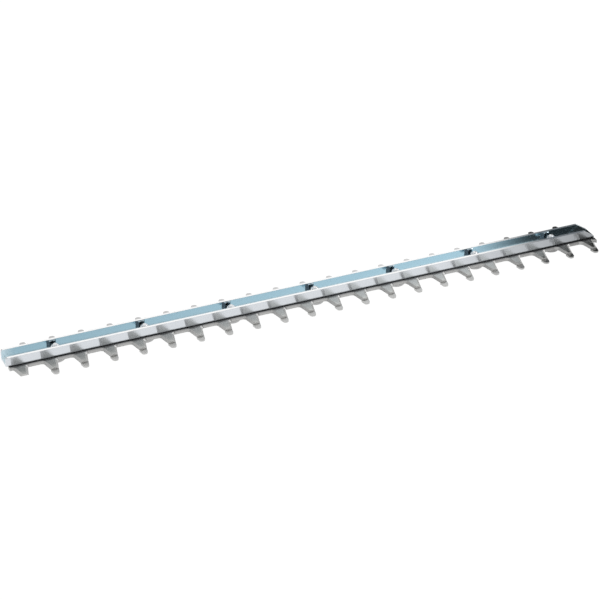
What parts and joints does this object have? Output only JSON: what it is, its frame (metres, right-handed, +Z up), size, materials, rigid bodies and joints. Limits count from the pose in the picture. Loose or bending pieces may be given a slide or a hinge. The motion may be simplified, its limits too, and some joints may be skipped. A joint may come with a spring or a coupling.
{
  "type": "hedge trimmer blade",
  "caption": "Double-sided hedge trimmer cutter: a ground, toothed blade slides on a fixed, blunt comb under a bright U-shaped guide rail, held by bolts, nuts and discs.",
  "frame": {"origin": "on the surface the keeper discs stand on, under the middle of the bar's length and width", "axes": "+X along the bar to its free, raked end; +Z up, out of the guide rail's open side; -Y towards the side with the extra rear tooth"},
  "size_m": [0.632, 0.0624, 0.0173],
  "materials": {
    "rail_plating": "bright bluish zinc plating, smooth",
    "cutting_blade_steel": "satin steel with ground cutting bevels",
    "guard_comb_steel": "satin steel with blunt, rounded tips",
    "bolt_zinc": "bright zinc",
    "nut_zinc": "dark zinc",
    "keeper_steel": "turned steel",
    "sleeve_steel": "turned steel, oiled"
  },
  "bodies": {
    "rail": {"guide_rail": "rail_plating", "guard_comb": "guard_comb_steel", "guide_bolts": "bolt_zinc", "hex_nuts": "nut_zinc", "keeper_disc_1": "keeper_steel", "keeper_disc_2": "keeper_steel", "keeper_disc_3": "keeper_steel", "keeper_disc_4": "keeper_steel", "keeper_disc_5": "keeper_steel", "keeper_disc_6": "keeper_steel", "keeper_disc_7": "keeper_steel", "slide_sleeve_1": "sleeve_steel", "slide_sleeve_2": "sleeve_steel", "slide_sleeve_3": "sleeve_steel", "slide_sleeve_4": "sleeve_steel", "slide_sleeve_5": "sleeve_steel", "slide_sleeve_6": "sleeve_steel", "slide_sleeve_7": "sleeve_steel"},
    "cutter": {"cutting_blade": "cutting_blade_steel"}
  },
  "joints": [
    {"name": "cutting_blade_slide", "type": "slide", "parent": "rail", "child": "cutter", "axis": [1, 0, 0], "range_m": [-0.0145, 0.0145]}
  ]
}
